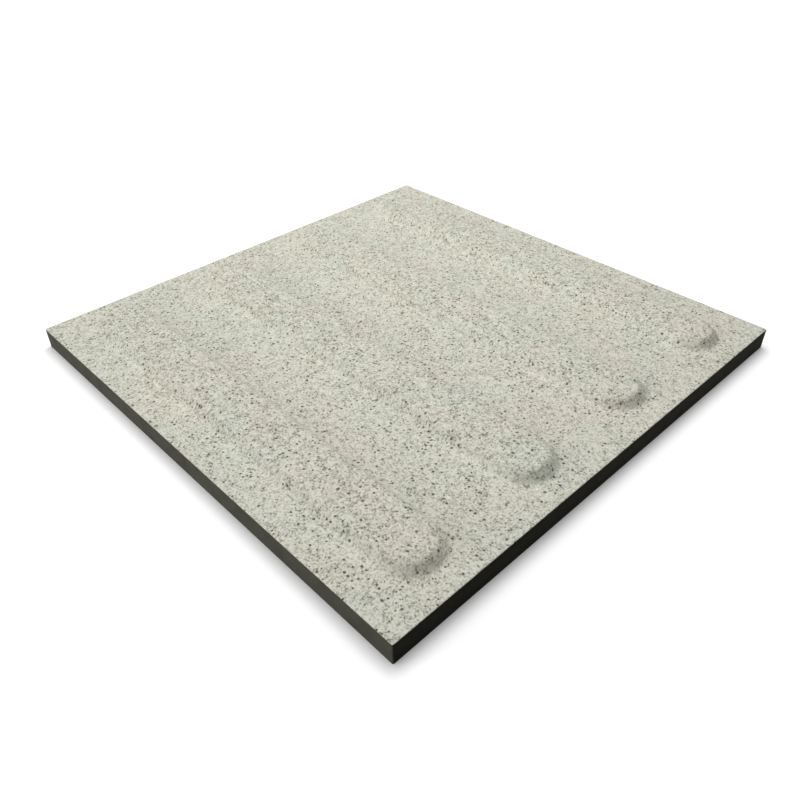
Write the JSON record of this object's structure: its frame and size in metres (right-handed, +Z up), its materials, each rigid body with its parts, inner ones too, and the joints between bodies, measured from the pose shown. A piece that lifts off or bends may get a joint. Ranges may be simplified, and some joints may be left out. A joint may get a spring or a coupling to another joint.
{
  "type": "tactile paving tile",
  "caption": "Square speckled ceramic paving tile with straight raised guidance bars, round at both ends, and a back keyed with shallow cells.",
  "frame": {"origin": "middle of the tile's back, in the plane that beds on the mortar", "axes": "+Z up from the back to the face with the bars, +Y along the bars, +X across them"},
  "size_m": [0.3, 0.3, 0.0175],
  "materials": {
    "fired_body": "matte"
  },
  "bodies": {
    "root": {"tactile_tile": "fired_body"}
  },
  "joints": []
}
